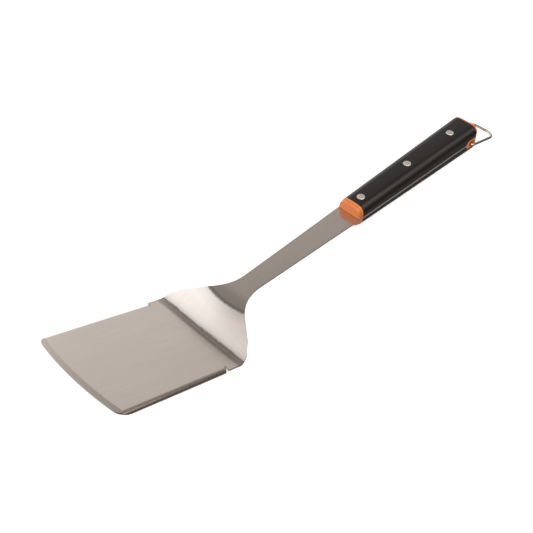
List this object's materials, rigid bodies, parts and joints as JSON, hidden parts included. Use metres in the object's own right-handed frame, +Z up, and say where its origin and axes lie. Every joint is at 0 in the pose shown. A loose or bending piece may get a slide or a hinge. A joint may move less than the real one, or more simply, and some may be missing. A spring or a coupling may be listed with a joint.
{
  "type": "grill spatula",
  "caption": "Long grill spatula: brushed steel blade with folded side lips, cranked shank, riveted black handle with orange end pieces and a swinging wire hanging loop.",
  "frame": {"origin": "middle of the overall length and width, on the table that the spatula rests on", "axes": "+X from the blade to the handle end and the loop, +Z up; the blade's lower bend and the heel of the handle rest on Z = 0"},
  "size_m": [0.5328, 0.1008, 0.0495],
  "materials": {
    "blade_steel": "lengthwise brushed",
    "black_handle": "satin, fine moulded grain",
    "orange_bolster": "satin gloss",
    "rivet_steel": "turned, satin",
    "polished_wire": "polished"
  },
  "bodies": {
    "spatula": {"blade_and_tang": "blade_steel", "upper_scale": "black_handle", "lower_scale": "black_handle", "upper_bolster": "orange_bolster", "lower_bolster": "orange_bolster", "rear_cap": "orange_bolster", "rivet_sleeve_front": "rivet_steel", "rivet_post_front": "rivet_steel", "rivet_sleeve_middle": "rivet_steel", "rivet_post_middle": "rivet_steel", "rivet_sleeve_rear": "rivet_steel", "rivet_post_rear": "rivet_steel"},
    "loop": {"hanging_loop": "polished_wire"}
  },
  "joints": [
    {"name": "loop_hinge", "type": "hinge", "parent": "spatula", "child": "loop", "pos_m": [0.2213, 0, 0.01191], "axis": [0, -1, 0], "range_deg": [-146, 162]}
  ]
}
